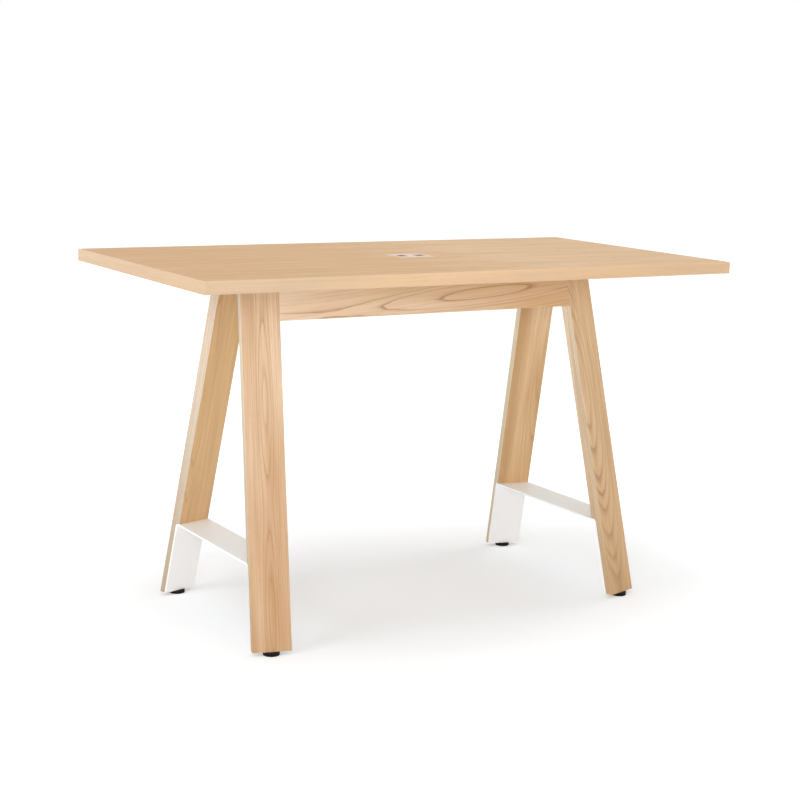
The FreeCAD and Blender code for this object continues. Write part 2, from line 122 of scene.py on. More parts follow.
def addRange(tree, value, low, high, toLow, toHigh):
    node = tree.nodes.new("ShaderNodeMapRange")
    feed(tree, node.inputs["Value"], value)
    for name, number in (("From Min", low), ("From Max", high), ("To Min", toLow), ("To Max", toHigh)):
        feed(tree, node.inputs[name], number)
    return node.outputs["Result"]


def addRamp(tree, value, stops):
    node = tree.nodes.new("ShaderNodeValToRGB")
    feed(tree, node.inputs["Fac"], value)
    band = node.color_ramp.elements
    while len(band) < len(stops):
        band.new(0.5)                    # moved to its place below
    for element, (place, grey) in zip(band, stops):
        element.position = place
        element.color = (grey, grey, grey, 1.0)
    return node.outputs["Color"]


def addTint(tree, factor, under, over):
    node = tree.nodes.new("ShaderNodeMix")
    node.data_type = "RGBA"
    feed(tree, node.inputs[0], factor)
    feed(tree, node.inputs[6], under)    # the colour sockets follow the plain and vector ones
    feed(tree, node.inputs[7], over)
    return node.outputs[2]


def addBump(tree, height, strength, distance):
    node = tree.nodes.new("ShaderNodeBump")
    feed(tree, node.inputs["Height"], height)
    node.inputs["Strength"].default_value = strength
    node.inputs["Distance"].default_value = distance
    return node.outputs["Normal"]


def srgb(red, green, blue):
    # levels of 0 to 255, as a screen shows them, to the linear values that shaders take
    shares = [level / 255 for level in (red, green, blue)]
    linear = [c / 12.92 if c < 0.04045 else ((c + 0.055) / 1.055) ** 2.4 for c in shares]
    return (*linear, 1.0)


def newMaterial(name):
    material = bpy.data.materials.new(name)
    material.use_nodes = True
    tree = material.node_tree
    return material, tree, tree.nodes["Principled BSDF"]


def objectVector(tree):
    return tree.nodes.new("ShaderNodeTexCoord").outputs["Object"]


def boardVector(tree, axes, centre):
    # across the board, along its grain and through its thickness, from its middle
    turn = Matrix(axes)
    mapping = tree.nodes.new("ShaderNodeMapping")
    mapping.inputs["Rotation"].default_value = turn.to_euler("XYZ")
    mapping.inputs["Location"].default_value = -(turn @ centre)
    feed(tree, mapping.inputs["Vector"], objectVector(tree))
    return mapping.outputs["Vector"]


def paint(material, *names):
    for name in names:
        nodes[name].material_slots[0].material = material


def middle(name):
    low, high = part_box(name)
    return (low + high) / 2


# ash: growth rings about a pith that wanders under the board, with pores in each year's early wood

ashFigure = {
    "inputs": ("pithDepth", "pithShift", "ringWidth", "waveHeight", "waveLength", "waveShift", "slope",
               "skew", "point", "soft", "seed"),
    "outputs": ("ring", "pores", "streak", "cloud"),
    "apart": (3.7, 5.3, 2.9),        # metres between boards whose seeds are one apart
    "wander": 0.0022,                # metres that the pith drifts to each side
    "ragged": 0.0016,                # metres of fine raggedness in each ring
    "uneven": 0.8,                   # spread of the years' widths, in rings
    "yearNoise": (0.6, 1.0),         # scale and detail of that spread
    "yearsApart": 11.0,              # years between boards whose seeds are one apart
    "yearStrength": (0.45, 1.0),     # the faintest and the strongest year
    "crown": (0.012, 0.05),          # metres from the pith line over which the rings fade
    "crownFade": 0.42,
    "drift": {"along": 0.3, "scale": 7.0, "detail": 1.5, "roughness": 0.5},
    "grit": {"along": 0.07, "scale": 130.0, "detail": 3.0, "roughness": 0.6},
    "dashes": {"along": 0.03, "scale": 1500.0, "detail": 1.0, "roughness": 0.5},
    "lines": {"along": 0.016, "scale": 190.0, "detail": 3.0, "roughness": 0.65},
    "patches": {"along": 0.12, "scale": 13.0, "detail": 2.0, "roughness": 0.5},
    "ringStops": ((0.0, 1.0), (0.06, 0.55), (0.18, 0.18), (0.5, 0.05), (0.94, 0.12), (1.0, 1.0)),
    "softStops": ((0.0, 0.78), (0.14, 0.62), (0.34, 0.26), (0.6, 0.05), (0.84, 0.16), (1.0, 0.78)),
    "poreStops": ((0.56, 0.0), (0.66, 1.0)),
}


def addGrain(tree, place, layer):
    # a noise drawn out along the board
    drawn = addVectorMath(tree, "MULTIPLY", place, (1.0, layer["along"], 1.0))[0]
    return addNoise(tree, drawn, layer["scale"], layer["detail"], layer["roughness"])


def addSway(tree, noise, reach):
    return addProduct(tree, addDifference(tree, noise, noiseMiddle), reach)


def makeAshFigure():
    s = ashFigure
    tree = bpy.data.node_groups.new("ashFigure", "ShaderNodeTree")
    tree.interface.new_socket("Board", in_out="INPUT", socket_type="NodeSocketVector")
    for name in s["inputs"]:
        tree.interface.new_socket(name, in_out="INPUT", socket_type="NodeSocketFloat")
    for name in s["outputs"]:
        tree.interface.new_socket(name, in_out="OUTPUT", socket_type="NodeSocketFloat")
    given = tree.nodes.new("NodeGroupInput").outputs
    result = tree.nodes.new("NodeGroupOutput").inputs

    # every board is cut from another place
    apart = addJoined(tree, *[addProduct(tree, given["seed"], share) for share in s["apart"]])
    place = addVectorMath(tree, "ADD", given["Board"], apart)[0]
    across, along, through = addParts(tree, given["Board"])

    # the pith drifts a little, and waves up and down along the board
    drift = tree.nodes.new("ShaderNodeSeparateColor")
    feed(tree, drift.inputs[0], addGrain(tree, place, s["drift"])["Color"])
    driftSide, driftDeep = [addSway(tree, drift.outputs[i], 2 * s["wander"]) for i in (0, 1)]
    turns = addMath(tree, "DIVIDE", addDifference(tree, along, given["waveShift"]), given["waveLength"])
    wave = addMath(tree, "COSINE", addProduct(tree, turns, 2 * math.pi))
    depth = addSum(tree, given["pithDepth"], addProduct(tree, wave, given["waveHeight"]))
    depth = addSum(tree, depth, addProduct(tree, along, given["slope"]))
    depth = addSum(tree, addSum(tree, depth, through), driftDeep)

    # distance from the pith, where a point above 0 makes the crowns pointed
    pithLine = addSum(tree, given["pithShift"], addProduct(tree, along, given["skew"]))
    aside = addSum(tree, addDifference(tree, across, pithLine), driftSide)
    beside = addMath(tree, "ABSOLUTE", aside)
    flank = addProduct(tree, beside, addSum(tree, beside, given["point"]))
    radius = addMath(tree, "SQRT", addSum(tree, flank, addProduct(tree, depth, depth)))
    radius = addSum(tree, radius, addSway(tree, addGrain(tree, place, s["grit"])["Fac"], s["ragged"]))

    # wide and narrow years
    years = addMath(tree, "DIVIDE", radius, given["ringWidth"])
    widths = tree.nodes.new("ShaderNodeTexNoise")
    widths.noise_dimensions = "1D"
    firstYear = addProduct(tree, given["seed"], s["yearsApart"])
    feed(tree, widths.inputs["W"], addSum(tree, years, firstYear))
    widths.inputs["Scale"].default_value, widths.inputs["Detail"].default_value = s["yearNoise"]
    years = addSum(tree, years, addProduct(tree, widths.outputs["Fac"], s["uneven"]))

    # some years show more than others, and all of them most near the pith line
    chance = tree.nodes.new("ShaderNodeTexWhiteNoise")
    chance.noise_dimensions = "1D"
    feed(tree, chance.inputs["W"], addSum(tree, addMath(tree, "FLOOR", years), given["seed"]))
    strength = addRange(tree, chance.outputs["Value"], 0.0, 1.0, *s["yearStrength"])
    crown = addRange(tree, beside, *s["crown"], 1.0, s["crownFade"])
    year = addMath(tree, "FRACT", years)
    crisp, soft = addRamp(tree, year, s["ringStops"]), addRamp(tree, year, s["softStops"])
    band = addTint(tree, given["soft"], crisp, soft)
    feed(tree, result["ring"], addProduct(tree, band, addProduct(tree, strength, crown)))

    feed(tree, result["pores"], addRamp(tree, addGrain(tree, place, s["dashes"])["Fac"], s["poreStops"]))
    feed(tree, result["streak"], addGrain(tree, place, s["lines"])["Fac"])
    feed(tree, result["cloud"], addGrain(tree, place, s["patches"])["Fac"])
    return tree


ashTree = makeAshFigure()

ashFinish = {
    "pale": (229, 198, 159),
    "honey": (217, 178, 135),
    "ringBrown": (178, 130, 84),
    "poreBrown": (150, 106, 66),
    "cloudReach": (0.15, 0.85),      # from pale to honey across the board's soft patches
    "paintedShadeFade": 0.0,                     # painted shade: how much darker the low or left end of the board is, lighter where negative, standing in for light that falls off along the board
    "halfLength": 0.5,
    "streakBand": (0.42, 0.75),      # the part of the streaks' noise that shows
    "streakShare": 0.4,
    "ringShare": 0.68,
    "poreShare": 0.4,
    "strayPores": 0.15,              # pores between the rings
    "roughness": (0.42, 0.58),       # of the wood and of its pores
    "specular": 0.35,
    "ringRelief": 0.3,               # depth of the rings beside the pores' own
    "bump": (0.25, 0.0003),          # strength, and metres
}


def foldLeaves(tree, place, leafWidth):
    # book-matched veneer: neighbouring leaves mirror each other
    across, along, through = addParts(tree, place)
    return addJoined(tree, addMath(tree, "PINGPONG", across, leafWidth), along, through)


def glueSeam(tree, seam):
    # thin brown line where the veneer meets the lippings
    place = addParts(tree, objectVector(tree))
    past = [addDifference(tree, addMath(tree, "ABSOLUTE", place[i]), seam["reach"][i]) for i in (0, 1)]
    return addRange(tree, addMath(tree, "MAXIMUM", *past), -seam["width"], 0.0, 0.0, seam["share"])


def makeAsh(name, axes, centre, board, finish):
    # a finish may also name leafWidth and seam for veneer, and heart tones and edge tones, the latter with
    # painted light and shade, for planks
    look = dict(ashFinish, **finish)
    material, tree, shader = newMaterial(name)
    place = boardVector(tree, axes, centre)
    across, along = addParts(tree, place)[:2]
    figure = tree.nodes.new("ShaderNodeGroup")
    figure.node_tree = ashTree
    if "leafWidth" in look:
        place = foldLeaves(tree, place, look["leafWidth"])
    feed(tree, figure.inputs["Board"], place)
    for key, value in board.items():
        figure.inputs[key].default_value = value
    ring, pores, streak, cloud = [figure.outputs[key] for key in ashFigure["outputs"]]

    # ground tone, darker in a plank's heart, with painted shade towards one end, and on the narrow faces
    # partly the wood's own tone and partly painted light and shade
    ends = (-look["halfLength"], look["halfLength"])
    # painted shade: one end of the board is darker, standing in for light that falls off along it
    cloudAndPaintedShade = addRange(tree, along, *ends, look["paintedShadeFade"], -look["paintedShadeFade"])
    cloudAndPaintedShade = addSum(tree, addRange(tree, cloud, *noiseBand, *look["cloudReach"]), cloudAndPaintedShade)
    body = addTint(tree, cloudAndPaintedShade, srgb(*look["pale"]), srgb(*look["honey"]))
    if "heartReach" in look:
        heart = addRange(tree, across, *look["heartReach"], 0.0, look["heartShare"])
        body = addTint(tree, heart, body, srgb(*look["heartTone"]))
    # the narrow faces: partly paler wood, partly painted light at the head and painted shade at the foot
    if "edgeReach" in look:
        rim = addRange(tree, addMath(tree, "ABSOLUTE", across), *look["edgeReach"], 0.0, 1.0)
        height = addRange(tree, along, *ends, 0.0, 1.0)
        edge = addTint(tree, height, srgb(*look["edgeFootPaintedShade"]), srgb(*look["edgeHeadPaintedLight"]))
        body = addTint(tree, rim, body, edge)

    # streaks, rings and pores over it
    ringBrown, poreBrown = srgb(*look["ringBrown"]), srgb(*look["poreBrown"])
    lines = addRange(tree, streak, *look["streakBand"], 0.0, 1.0)
    body = addTint(tree, addProduct(tree, lines, look["streakShare"]), body, ringBrown)
    body = addTint(tree, addProduct(tree, ring, look["ringShare"]), body, ringBrown)
    inRing = addProduct(tree, pores, addRange(tree, ring, 0.0, 1.0, look["strayPores"], 1.0))
    body = addTint(tree, addProduct(tree, inRing, look["poreShare"]), body, poreBrown)
    if "seam" in look:
        body = addTint(tree, glueSeam(tree, look["seam"]), body, poreBrown)
    feed(tree, shader.inputs["Base Color"], body)
    feed(tree, shader.inputs["Roughness"], addRange(tree, inRing, 0.0, 1.0, *look["roughness"]))
    shader.inputs["Specular IOR Level"].default_value = look["specular"]
    relief = addSum(tree, inRing, addProduct(tree, ring, look["ringRelief"]))
    feed(tree, shader.inputs["Normal"], addBump(tree, addDifference(tree, 1.0, relief), *look["bump"]))
    return material


# legs: plank axes follow each leg's turn in plan and its lean

legStance = {"turn": math.radians(15.0), "lean": math.radians(13.6)}
legBoards = {
    "front_left": {"pithDepth": 0.003, "pithShift": 0.004, "ringWidth": 0.0052, "waveHeight": 0.0042,
                   "waveLength": 0.6, "waveShift": -0.128, "slope": 0.0, "soft": 0.5, "seed": 1.0},
    "front_right": {"pithDepth": -0.2, "pithShift": -0.048, "ringWidth": 0.0052, "waveHeight": 0.0215,
                    "waveLength": 1.6, "waveShift": 0.16, "slope": 0.0, "skew": -0.076, "point": 0.01,
                    "soft": 0.85, "seed": 2.0},
    "rear_left": {"pithDepth": -0.02, "pithShift": 0.045, "ringWidth": 0.0056, "waveHeight": 0.005,
                  "waveLength": 0.9, "waveShift": 0.1, "slope": 0.01, "seed": 3.0},
    "rear_right": {"pithDepth": -0.03, "pithShift": -0.05, "ringWidth": 0.006, "waveHeight": 0.005,
                   "waveLength": 0.9, "waveShift": 0.2, "slope": 0.01, "seed": 4.0},
}

# the narrow faces have tones of their own: partly the paler wood of the edge, and partly painted light,
# paler at the head of the leg, and painted shade, darker at its foot
legEdge = {"edgeReach": (0.0557, 0.0568)}    # metres from the plank's middle, just short of those faces
# painted shade: each leg's fade darkens it towards its foot
legFinish = {
    "front_left": {"pale": (225, 198, 167), "honey": (185, 145, 103), "ringBrown": (160, 108, 64),
                   "paintedShadeFade": 0.42, "edgeHeadPaintedLight": (235, 226, 209), "edgeFootPaintedShade": (188, 159, 122)},
    "front_right": {"pale": (237, 203, 158), "honey": (212, 173, 126), "ringBrown": (150, 98, 52),
                    "ringShare": 0.95, "paintedShadeFade": 0.36,
                    "edgeHeadPaintedLight": (252, 236, 210), "edgeFootPaintedShade": (194, 166, 129)},
    "rear_left": {"pale": (232, 196, 142), "honey": (206, 167, 124), "paintedShadeFade": 0.3,
                  "edgeHeadPaintedLight": (228, 214, 196), "edgeFootPaintedShade": (181, 169, 146)},
    "rear_right": {"pale": (242, 212, 172), "honey": (199, 156, 104), "paintedShadeFade": 0.36,
                   "edgeHeadPaintedLight": (252, 240, 206), "edgeFootPaintedShade": (203, 183, 152),
                   "heartTone": (198, 158, 112), "heartReach": (0.016, 0.034), "heartShare": 0.85},
}


def legAxes(corner):
    turn, lean = legStance["turn"], legStance["lean"]
    side = 1 if "right" in corner else -1
    end = 1 if "rear" in corner else -1
    out = Vector((side * math.sin(turn), end * math.cos(turn), 0.0))
    up = Vector((0.0, 0.0, 1.0))
    along = up * math.cos(lean) - out * math.sin(lean)
    face = out * math.cos(lean) + up * math.sin(lean)
    return along.cross(face), along, face


for corner in corners:
    legName = "leg_" + corner
    finish = dict(legEdge, **legFinish[corner])
    paint(makeAsh("ash_" + legName, legAxes(corner), middle(legName), legBoards[corner], finish), legName)
print("legs finished")


# rails: grain along the table on the long ones, across it on the short ones

alongX = (Vector((0, 0, 1)), Vector((1, 0, 0)), Vector((0, 1, 0)))
alongY = (Vector((1, 0, 0)), Vector((0, 1, 0)), Vector((0, 0, 1)))

railLean = math.atan(math.tan(legStance["lean"]) * math.cos(legStance["turn"]))
railSkew = {"front_rail": (-1, 0.076), "rear_rail": (1, -0.03)}      # side of the table, and radians
railBoards = {
    "front_rail": {"pithDepth": -0.0265, "pithShift": -0.027, "ringWidth": 0.0095, "waveHeight": 0.01,
                   "waveLength": 1.15, "waveShift": 0.205, "slope": 0.0, "seed": 5.0},
    "rear_rail": {"pithDepth": -0.06, "pithShift": -0.01, "ringWidth": 0.007, "waveHeight": 0.018,
                  "waveLength": 1.0, "waveShift": -0.1, "slope": 0.01, "seed": 6.0},
    "end_rail_left": {"pithDepth": 0.09, "pithShift": 0.02, "ringWidth": 0.006, "waveHeight": 0.004,
                      "waveLength": 0.5, "waveShift": 0.0, "slope": 0.02, "seed": 7.0},
    "end_rail_right": {"pithDepth": 0.1, "pithShift": -0.02, "ringWidth": 0.006, "waveHeight": 0.004,
                       "waveLength": 0.5, "waveShift": 0.1, "slope": 0.02, "seed": 8.0},
    "cross_rail_left": {"pithDepth": 0.08, "pithShift": 0.03, "ringWidth": 0.006, "waveHeight": 0.004,
                        "waveLength": 0.5, "waveShift": 0.0, "slope": 0.03, "seed": 9.0},
    "cross_rail_right": {"pithDepth": 0.08, "pithShift": -0.03, "ringWidth": 0.006, "waveHeight": 0.004,
                         "waveLength": 0.5, "waveShift": 0.2, "slope": 0.03, "seed": 10.0},
}
# painted light: the rails' fade is negative, so their left ends are lighter
railFinish = {"pale": (247, 224, 197), "honey": (220, 179, 129), "ringBrown": (152, 100, 56), "paintedShadeFade": -0.4,
              "cloudReach": (0.3, 0.66), "ringShare": 0.85, "streakShare": 0.22}


def railAxes(side, skew):
    # the face leans with the legs, and the pith runs a little askew in it
    face = Vector((0, -side * math.sin(railLean), math.cos(railLean)))
    level = Vector((1, 0, 0))
    along = level * math.cos(skew) + face * math.sin(skew)
    across = face * math.cos(skew) - level * math.sin(skew)
    return across, along, across.cross(along)


for railName, board in railBoards.items():
    axes = railAxes(*railSkew[railName]) if railName in railSkew else alongY
    paint(makeAsh("ash_" + railName, axes, middle(railName), board, railFinish), railName)
print("rails finished")


# top: crown-cut veneer on the panel, straight-grained solid lippings round it

halfLength, halfWidth = cadBox[1][0], cadBox[1][1]
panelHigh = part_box("tabletop_panel")[1]
seamEdge = 0.001         # metres at the panel's edge where the glue line is darkest
flatAlongX = (Vector((0, -1, 0)), Vector((1, 0, 0)), Vector((0, 0, 1)))
topBoard = {"pithDepth": 0.05, "pithShift": 0.07, "ringWidth": 0.0065, "waveHeight": 0.018,
            "waveLength": 2.3, "waveShift": -0.3, "slope": 0.004, "seed": 11.0}
# painted shade: the fade darkens the veneer and the lippings towards their left or front ends
topFinish = {"pale": (225, 193, 155), "honey": (206, 168, 124), "ringShare": 0.55, "streakShare": 0.45,
             "poreShare": 0.3, "roughness": (0.55, 0.65), "specular": 0.12,
             "paintedShadeFade": 0.45, "halfLength": halfLength, "leafWidth": 0.148,
             "seam": {"reach": [panelHigh[i] - seamEdge for i in (0, 1)], "width": 0.002, "share": 0.8}}
lippingBoard = {"pithDepth": 0.3, "pithShift": 0.3, "ringWidth": 0.008, "waveHeight": 0.01,
                "waveLength": 1.6, "waveShift": 0.2, "slope": 0.01}
lippingFinish = {"ringShare": 0.16, "streakShare": 0.2, "paintedShadeFade": 0.5}
lippings = {
    "lipping_front": {"axes": alongX, "seed": 12.0, "halfLength": halfLength,
                      "tones": {"pale": (233, 193, 150), "honey": (205, 178, 148)}},
    "lipping_rear": {"axes": alongX, "seed": 13.0, "halfLength": halfLength,
                     "tones": {"pale": (226, 195, 158), "honey": (206, 174, 139)}},
    "lipping_left": {"axes": alongY, "seed": 14.0, "halfLength": halfWidth,
                     "tones": {"pale": (216, 187, 153), "honey": (200, 168, 134)}},
    "lipping_right": {"axes": alongY, "seed": 15.0, "halfLength": halfWidth,
                      "tones": {"pale": (226, 195, 158), "honey": (206, 174, 139)}},
}
paint(makeAsh("ash_veneer", flatAlongX, middle("tabletop_panel"), topBoard, topFinish), "tabletop_panel")
for lippingName, own in lippings.items():
    board = dict(lippingBoard, seed=own["seed"])
    finish = dict(lippingFinish, halfLength=own["halfLength"], **own["tones"])
    paint(makeAsh("ash_" + lippingName, own["axes"], middle(lippingName), board, finish), lippingName)
print("top finished")


# white powder coat on the footrests and their screws, with painted light: the tread is written cooler, to
# cancel the warm light from the wood on it, and the flange warmer, to stand for warm light on it

powderCoat = {
    "tread": (249, 254, 255),
    "flange": (246, 242, 239),
    "bend": (0.031, 0.006),          # metres below the tread's face, from the warmer painted flange to the cooler painted tread
    "shade": (244, 245, 244),
    "shadeShare": 0.3,
    "patches": 14.0,
    "peel": 900.0,                   # fine orange-peel texture
    "roughness": (0.38, 0.5),
    "bump": (0.18, 0.0003),
}


def makePowderCoat():
    s = powderCoat
    material, tree, shader = newMaterial("white_powder_coat")
    place = objectVector(tree)
    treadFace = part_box("footrest_left")[1][2]
    # painted light: the white turns with height from the warmer flange to the cooler tread
    rise = addRange(tree, addParts(tree, place)[2], *[treadFace - drop for drop in s["bend"]], 0.0, 1.0)
    white = addTint(tree, rise, srgb(*s["flange"]), srgb(*s["tread"]))
    patches = addProduct(tree, addNoise(tree, place, s["patches"])["Fac"], s["shadeShare"])
    feed(tree, shader.inputs["Base Color"], addTint(tree, patches, white, srgb(*s["shade"])))
    peel = addNoise(tree, place, s["peel"])["Fac"]
    feed(tree, shader.inputs["Roughness"], addRange(tree, peel, *noiseBand, *s["roughness"]))
    feed(tree, shader.inputs["Normal"], addBump(tree, peel, *s["bump"]))
    return material


paint(makePowderCoat(), "footrest_left", "footrest_right", "footrest_screws")
print("footrests finished")


# moulded plastics

moulding = {
    "detail": (3.0, 0.6),            # detail and roughness of the fine grain
    "soft": 30,                      # how many times larger the soft patches are than the grain
    "worn": (1.06, 3),               # gain and lift, in levels, of the worn patches
    "gloss": 0.06,                   # spread of the roughness to each side
    "specular": 0.5,
    "bumpDepth": 0.0002,
}
plastics = {
    "black_nylon": {"color": (9, 8, 8), "roughness": 0.5, "grain": 700.0, "relief": 0.2, "specular": 0.15,
                    "nodes": ["glide_pad_" + corner for corner in corners]},
    "pale_bezel": {"color": (212, 193, 170), "roughness": 0.5, "grain": 900.0, "relief": 0.1,
                   "nodes": ["power_bezel"]},
    "dark_module": {"color": (46, 43, 39), "roughness": 0.45, "grain": 900.0, "relief": 0.15,
                    "nodes": ["charge_module_left", "charge_module_right", "power_inlet"]},
    "grey_housing": {"color": (112, 113, 116), "roughness": 0.55, "grain": 600.0, "relief": 0.2,
                     "nodes": ["power_housing"]},
    "board_green": {"color": (38, 92, 58), "roughness": 0.4, "grain": 500.0, "relief": 0.15,
                    "nodes": ["circuit_board"]},
}


def makePlastic(name, own):
    look = dict(moulding, **own)
    gain, lift = look["worn"]
    material, tree, shader = newMaterial(name)
    place = objectVector(tree)
    fine = addNoise(tree, place, look["grain"], *look["detail"])["Fac"]
    soft = addNoise(tree, place, look["grain"] / look["soft"])["Fac"]
    worn = [level * gain + lift for level in look["color"]]
    gloss = (look["roughness"] - look["gloss"], look["roughness"] + look["gloss"])
    feed(tree, shader.inputs["Base Color"], addTint(tree, soft, srgb(*look["color"]), srgb(*worn)))
    feed(tree, shader.inputs["Roughness"], addRange(tree, fine, *noiseBand, *gloss))
    feed(tree, shader.inputs["Normal"], addBump(tree, fine, look["relief"], look["bumpDepth"]))
    shader.inputs["Specular IOR Level"].default_value = look["specular"]
    return material


for plasticName, own in plastics.items():
    paint(makePlastic(plasticName, own), *own["nodes"])
print("plastics finished")


# zinc plate and brass, and the beech of the dowels

plating = {
    "drawn": 1600.0,                 # fine lines drawn out along the piece's height
    "stretch": (1.0, 1.0, 0.08),
    "patches": (60.0, 3.0),          # scale and detail of the tarnish
    "bump": (0.08, 0.0001),
}
metals = {
    "zinc_plate": {"color": (196, 198, 202), "tarnish": (178, 176, 168), "roughness": (0.24, 0.42),
                   "nodes": ["fixing_angles", "top_screws", "rail_screws", "power_clamps", "clamp_screws",
                             *["glide_stem_" + corner for corner in corners]]},
    "brass": {"color": (206, 172, 100), "tarnish": (180, 140, 78), "roughness": (0.2, 0.38),
              "nodes": ["glide_inserts", "port_tongues", "inlet_pins"]},
}
dowelBoard = {"pithDepth": 0.05, "pithShift": 0.0, "ringWidth": 0.003, "waveHeight": 0.0,
              "waveLength": 1.0, "waveShift": 0.0, "slope": 0.0, "seed": 20.0}
dowelFinish = {"pale": (214, 178, 140), "honey": (206, 164, 124)}


def makePlated(name, own):
    look = dict(plating, **own)
    material, tree, shader = newMaterial(name)
    place = objectVector(tree)
    drawn = addNoise(tree, addVectorMath(tree, "MULTIPLY", place, look["stretch"])[0], look["drawn"])["Fac"]
    patches = addNoise(tree, place, *look["patches"])["Fac"]
    color = addTint(tree, patches, srgb(*look["color"]), srgb(*look["tarnish"]))
    feed(tree, shader.inputs["Base Color"], color)
    feed(tree, shader.inputs["Roughness"], addRange(tree, drawn, *noiseBand, *look["roughness"]))
    shader.inputs["Metallic"].default_value = 1.0
    feed(tree, shader.inputs["Normal"], addBump(tree, drawn, *look["bump"]))
    return material


for metalName, own in metals.items():
    paint(makePlated(metalName, own), *own["nodes"])
paint(makeAsh("beech_dowel", alongX, Vector(), dowelBoard, dowelFinish),
      "rail_dowels", "end_rail_dowels", "cross_rail_dowels")
print("metals and dowels finished")


# glides: scalloped pads and M8 threaded stems, drawn finer than the CAD's plain round ones

glidePad = {"radius": 0.024, "height": 0.0105, "sides": 112,
            "grips": 14, "gripRadius": 0.0024, "gripReach": 0.0246, "gripLow": 0.0026, "gripSides": 20,
            "socket": 0.0081, "socketFloor": 0.003, "socketSides": 40,
            "edge": 0.0009, "edgeSteps": 2, "edgeAngle": math.radians(40), "smooth": math.radians(32)}
glideStem = {"crest": 0.004, "root": 0.00323, "pitch": 0.00125, "flat": 0.00016, "steps": 28,
             "low": 0.003, "high": 0.035, "turnsBelow": 2, "turnsSpare": 3, "hair": 0.000002,
             "smooth": math.radians(35)}


def fresh(name):
    piece = bpy.context.object
    piece.name = name
    return piece


def applyAll(piece):
    bpy.ops.object.select_all(action="DESELECT")
    bpy.context.view_layer.objects.active = piece
    piece.select_set(True)
    for modifier in [m.name for m in piece.modifiers]:
        bpy.ops.object.modifier_apply(modifier=modifier)


def addDrum(name, radius, low, high, place, sides):
    bpy.ops.object.select_all(action="DESELECT")
    bpy.ops.mesh.primitive_cylinder_add(vertices=sides, radius=radius, depth=high - low,
                                        location=(place[0], place[1], (low + high) / 2))
    bpy.ops.object.transform_apply(location=True)
    return fresh(name)


def carve(piece, cutter):
    cut = piece.modifiers.new("carve", "BOOLEAN")
    cut.operation = "DIFFERENCE"
    cut.solver = "EXACT"
    cut.object = cutter
    applyAll(piece)
    bpy.data.objects.remove(cutter)


def makePad(corner, axis):
    s = glidePad
    above = 2 * s["height"]                              # the cutters end well over the pad
    pad = addDrum("grip_pad_" + corner, s["radius"], 0.0, s["height"], axis, s["sides"])
    for i in range(s["grips"]):
        angle = 2 * math.pi * i / s["grips"]
        place = (axis[0] + s["gripReach"] * math.cos(angle), axis[1] + s["gripReach"] * math.sin(angle))
        carve(pad, addDrum("grip", s["gripRadius"], s["gripLow"], above, place, s["gripSides"]))
    carve(pad, addDrum("socket", s["socket"] / 2, s["socketFloor"], above, axis, s["socketSides"]))
    rim = pad.modifiers.new("rim", "BEVEL")
    rim.width = s["edge"]
    rim.segments = s["edgeSteps"]
    rim.limit_method = "ANGLE"
    rim.angle_limit = s["edgeAngle"]
    applyAll(pad)
    bpy.ops.object.shade_smooth_by_angle(angle=s["smooth"])
    return pad


def cutSquare(height, hair, **side):
    bpy.ops.mesh.select_all(action="SELECT")
    bpy.ops.mesh.bisect(plane_co=(0, 0, height), plane_no=(0, 0, 1), use_fill=True, threshold=hair, **side)


def makeStem(corner, axis):
    # one tooth drawn point by point, wound up the stem, then cut square at both ends
    s = glideStem
    depth = s["crest"] - s["root"]
    rise = (s["pitch"] - 2 * s["flat"]) / 2
    tooth = ((0.0, 0.0, s["flat"]), (depth, 0.0, rise), (0.0, 0.0, s["flat"]), (-depth, 0.0, rise))
    bpy.ops.object.select_all(action="DESELECT")
    bpy.ops.mesh.primitive_plane_add(size=s["pitch"], location=(s["root"], 0.0, 0.0))
    bpy.ops.object.transform_apply(location=True)
    stem = fresh("threaded_stem_" + corner)
    bpy.ops.object.mode_set(mode="EDIT")
    bpy.ops.mesh.select_all(action="SELECT")
    bpy.ops.mesh.merge(type="CENTER")                    # the tooth's first point
    for step in tooth:
        bpy.ops.mesh.extrude_vertices_move(TRANSFORM_OT_translate={"value": step})
    bpy.ops.object.mode_set(mode="OBJECT")
    wound = stem.modifiers.new("wound", "SCREW")
    wound.axis = "Z"
    wound.screw_offset = s["pitch"]
    wound.iterations = math.ceil((s["high"] - s["low"]) / s["pitch"]) + s["turnsSpare"]
    wound.steps = s["steps"]
    wound.use_merge_vertices = True
    wound.merge_threshold = s["hair"]
    wound.use_normal_calculate = True
    weld = stem.modifiers.new("weld", "WELD")
    weld.merge_threshold = s["hair"]
    applyAll(stem)
    bpy.ops.object.mode_set(mode="EDIT")
    bpy.ops.mesh.select_all(action="SELECT")
    bpy.ops.transform.translate(value=(axis[0], axis[1], s["low"] - s["turnsBelow"] * s["pitch"]))
    cutSquare(s["low"], s["hair"], clear_inner=True)
    cutSquare(s["high"], s["hair"], clear_outer=True)
    bpy.ops.mesh.select_all(action="SELECT")
    bpy.ops.mesh.normals_make_consistent(inside=False)
    bpy.ops.object.mode_set(mode="OBJECT")
    bpy.ops.object.shade_smooth_by_angle(angle=s["smooth"])
    return stem


for corner in corners:
    axis = middle("glide_pad_" + corner)
    pad, stem = makePad(corner, axis), makeStem(corner, axis)
    for piece, node, slot in ((pad, "glide_pad_", "glide_plastic"), (stem, "glide_stem_", "zinc_steel")):
        piece.data.materials.clear()
        piece.data.materials.append(nodes[node + corner].material_slots[0].material)
        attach(piece, "glide_" + corner)
        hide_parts(node + corner)
print("glides drawn")


# floor, backdrop light and lamps

